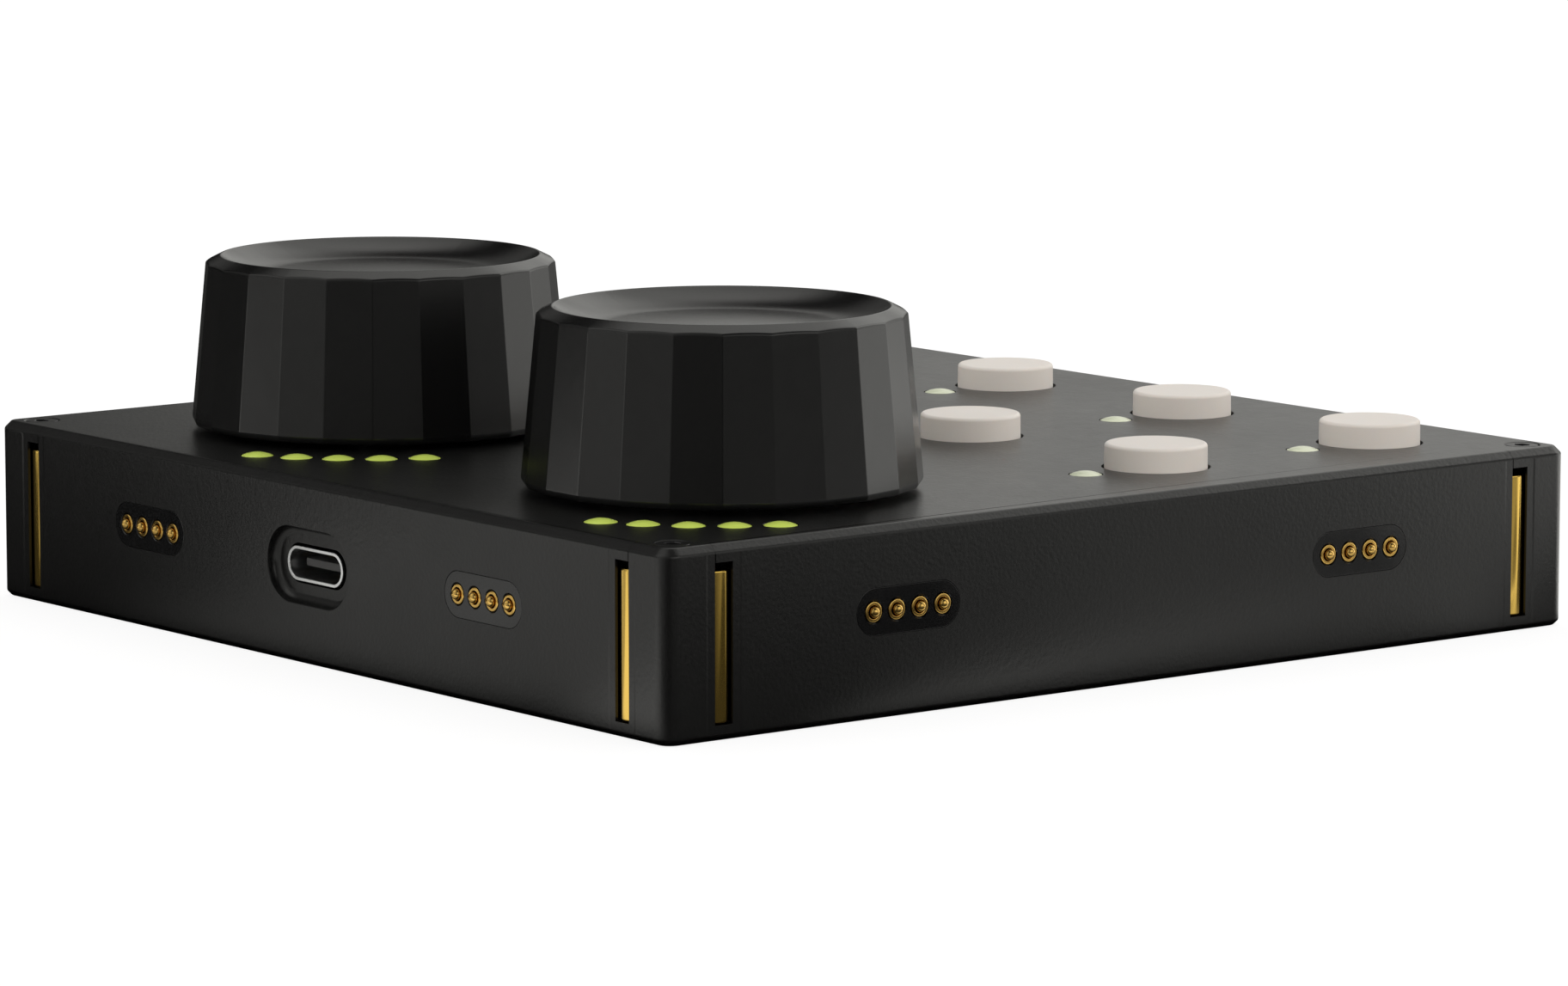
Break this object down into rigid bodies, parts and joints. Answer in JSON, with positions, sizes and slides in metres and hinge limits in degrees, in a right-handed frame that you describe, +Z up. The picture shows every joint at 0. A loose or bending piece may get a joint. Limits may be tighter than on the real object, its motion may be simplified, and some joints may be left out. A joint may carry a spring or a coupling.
{
  "type": "desktop jog-wheel controller",
  "caption": "Low square desktop controller with two large faceted jog wheels, round push buttons, status lenses, and spring-pin and magnet connectors on its sides.",
  "frame": {"origin": "middle of the underside, on the surface that it stands on", "axes": "+Z up, -Y towards the user (buttons), +Y towards the jog wheels and the USB socket, +X to the user's right"},
  "size_m": [0.1084, 0.1084, 0.034],
  "materials": {
    "shell_black": "fine matte grain",
    "cover_black": "fine matte grain",
    "wheel_black": "satin",
    "button_white": "satin",
    "arc_green": "translucent lens",
    "row_green": "translucent lens",
    "block_black": "satin moulding",
    "gold": "bright gold plating",
    "steel": "bright",
    "screw_black": "black oxide",
    "board_green": "solder mask",
    "part_grey": "tinned",
    "switch_black": "moulded",
    "tongue_black": "moulded"
  },
  "bodies": {
    "housing": {"top_shell": "shell_black", "bottom_cover": "cover_black", "main_board": "board_green", "controller_chip": "part_grey", "cover_screw_1": "screw_black", "cover_screw_2": "screw_black", "cover_screw_3": "screw_black", "cover_screw_4": "screw_black", "encoder_body_left": "part_grey", "light_guide_left": "arc_green", "encoder_body_right": "part_grey", "light_guide_right": "arc_green", "button_switch_1": "switch_black", "button_switch_2": "switch_black", "button_switch_3": "switch_black", "button_switch_4": "switch_black", "button_switch_5": "switch_black", "button_switch_6": "switch_black", "button_switch_7": "switch_black", "button_switch_8": "switch_black", "light_guide_rear_row": "row_green", "light_guide_front_row": "row_green", "connector_block_front_a": "block_black", "connector_block_front_b": "block_black", "connector_block_right_a": "block_black", "connector_block_right_b": "block_black", "connector_block_rear_a": "block_black", "connector_block_rear_b": "block_black", "connector_block_left_a": "block_black", "connector_block_left_b": "block_black", "usb_shell": "steel", "usb_tongue": "tongue_black"},
    "wheel_left": {"jog_wheel_left": "wheel_black", "encoder_shaft_left": "steel"},
    "wheel_right": {"jog_wheel_right": "wheel_black", "encoder_shaft_right": "steel"},
    "button_1": {"button_cap_1": "button_white"},
    "button_2": {"button_cap_2": "button_white"},
    "button_3": {"button_cap_3": "button_white"},
    "button_4": {"button_cap_4": "button_white"},
    "button_5": {"button_cap_5": "button_white"},
    "button_6": {"button_cap_6": "button_white"},
    "button_7": {"button_cap_7": "button_white"},
    "button_8": {"button_cap_8": "button_white"},
    "rod_front_a": {"magnet_front_a": "gold"},
    "pins_front_a": {"contact_pins_front_a": "gold"},
    "rod_front_b": {"magnet_front_b": "gold"},
    "pins_front_b": {"contact_pins_front_b": "gold"},
    "rod_right_a": {"magnet_right_a": "gold"},
    "pins_right_a": {"contact_pins_right_a": "gold"},
    "rod_right_b": {"magnet_right_b": "gold"},
    "pins_right_b": {"contact_pins_right_b": "gold"},
    "rod_rear_a": {"magnet_rear_a": "gold"},
    "pins_rear_a": {"contact_pins_rear_a": "gold"},
    "rod_rear_b": {"magnet_rear_b": "gold"},
    "pins_rear_b": {"contact_pins_rear_b": "gold"},
    "rod_left_a": {"magnet_left_a": "gold"},
    "pins_left_a": {"contact_pins_left_a": "gold"},
    "rod_left_b": {"magnet_left_b": "gold"},
    "pins_left_b": {"contact_pins_left_b": "gold"}
  },
  "joints": [
    {"name": "wheel_left_turn", "type": "hinge", "parent": "housing", "child": "wheel_left", "pos_m": [-0.0269, 0.0269, 0.0172], "axis": [0, 0, 1], "continuous": true},
    {"name": "wheel_right_turn", "type": "hinge", "parent": "housing", "child": "wheel_right", "pos_m": [0.0269, 0.0269, 0.0172], "axis": [0, 0, 1], "continuous": true},
    {"name": "button_1_press", "type": "slide", "parent": "housing", "child": "button_1", "axis": [0, 0, -1], "range_m": [0, 0.0012], "stiffness_N_per_m": 400, "springref_m": -0.001},
    {"name": "button_2_press", "type": "slide", "parent": "housing", "child": "button_2", "axis": [0, 0, -1], "range_m": [0, 0.0012], "stiffness_N_per_m": 400, "springref_m": -0.001},
    {"name": "button_3_press", "type": "slide", "parent": "housing", "child": "button_3", "axis": [0, 0, -1], "range_m": [0, 0.0012], "stiffness_N_per_m": 400, "springref_m": -0.001},
    {"name": "button_4_press", "type": "slide", "parent": "housing", "child": "button_4", "axis": [0, 0, -1], "range_m": [0, 0.0012], "stiffness_N_per_m": 400, "springref_m": -0.001},
    {"name": "button_5_press", "type": "slide", "parent": "housing", "child": "button_5", "axis": [0, 0, -1], "range_m": [0, 0.0012], "stiffness_N_per_m": 400, "springref_m": -0.001},
    {"name": "button_6_press", "type": "slide", "parent": "housing", "child": "button_6", "axis": [0, 0, -1], "range_m": [0, 0.0012], "stiffness_N_per_m": 400, "springref_m": -0.001},
    {"name": "button_7_press", "type": "slide", "parent": "housing", "child": "button_7", "axis": [0, 0, -1], "range_m": [0, 0.0012], "stiffness_N_per_m": 400, "springref_m": -0.001},
    {"name": "button_8_press", "type": "slide", "parent": "housing", "child": "button_8", "axis": [0, 0, -1], "range_m": [0, 0.0012], "stiffness_N_per_m": 400, "springref_m": -0.001},
    {"name": "magnet_front_a_spin", "type": "hinge", "parent": "housing", "child": "rod_front_a", "pos_m": [-0.04735, -0.05195, 0.008], "axis": [0, 0, 1], "continuous": true},
    {"name": "magnet_front_b_spin", "type": "hinge", "parent": "housing", "child": "rod_front_b", "pos_m": [0.04735, -0.05195, 0.008], "axis": [0, 0, 1], "continuous": true},
    {"name": "magnet_right_a_spin", "type": "hinge", "parent": "housing", "child": "rod_right_a", "pos_m": [0.05195, -0.04735, 0.008], "axis": [0, 0, 1], "continuous": true},
    {"name": "magnet_right_b_spin", "type": "hinge", "parent": "housing", "child": "rod_right_b", "pos_m": [0.05195, 0.04735, 0.008], "axis": [0, 0, 1], "continuous": true},
    {"name": "magnet_rear_a_spin", "type": "hinge", "parent": "housing", "child": "rod_rear_a", "pos_m": [0.04735, 0.05195, 0.008], "axis": [0, 0, 1], "continuous": true},
    {"name": "magnet_rear_b_spin", "type": "hinge", "parent": "housing", "child": "rod_rear_b", "pos_m": [-0.04735, 0.05195, 0.008], "axis": [0, 0, 1], "continuous": true},
    {"name": "magnet_left_a_spin", "type": "hinge", "parent": "housing", "child": "rod_left_a", "pos_m": [-0.05195, 0.04735, 0.008], "axis": [0, 0, 1], "continuous": true},
    {"name": "magnet_left_b_spin", "type": "hinge", "parent": "housing", "child": "rod_left_b", "pos_m": [-0.05195, -0.04735, 0.008], "axis": [0, 0, 1], "continuous": true},
    {"name": "pins_front_a_press", "type": "slide", "parent": "housing", "child": "pins_front_a", "axis": [0, 1, 0], "range_m": [0, 0.0006], "stiffness_N_per_m": 1500, "springref_m": -0.0006},
    {"name": "pins_front_b_press", "type": "slide", "parent": "housing", "child": "pins_front_b", "axis": [0, 1, 0], "range_m": [0, 0.0006], "stiffness_N_per_m": 1500, "springref_m": -0.0006},
    {"name": "pins_right_a_press", "type": "slide", "parent": "housing", "child": "pins_right_a", "axis": [-1, 0, 0], "range_m": [0, 0.0006], "stiffness_N_per_m": 1500, "springref_m": -0.0006},
    {"name": "pins_right_b_press", "type": "slide", "parent": "housing", "child": "pins_right_b", "axis": [-1, 0, 0], "range_m": [0, 0.0006], "stiffness_N_per_m": 1500, "springref_m": -0.0006},
    {"name": "pins_rear_a_press", "type": "slide", "parent": "housing", "child": "pins_rear_a", "axis": [0, -1, 0], "range_m": [0, 0.0006], "stiffness_N_per_m": 1500, "springref_m": -0.0006},
    {"name": "pins_rear_b_press", "type": "slide", "parent": "housing", "child": "pins_rear_b", "axis": [0, -1, 0], "range_m": [0, 0.0006], "stiffness_N_per_m": 1500, "springref_m": -0.0006},
    {"name": "pins_left_a_press", "type": "slide", "parent": "housing", "child": "pins_left_a", "axis": [1, 0, 0], "range_m": [0, 0.0006], "stiffness_N_per_m": 1500, "springref_m": -0.0006},
    {"name": "pins_left_b_press", "type": "slide", "parent": "housing", "child": "pins_left_b", "axis": [1, 0, 0], "range_m": [0, 0.0006], "stiffness_N_per_m": 1500, "springref_m": -0.0006}
  ]
}
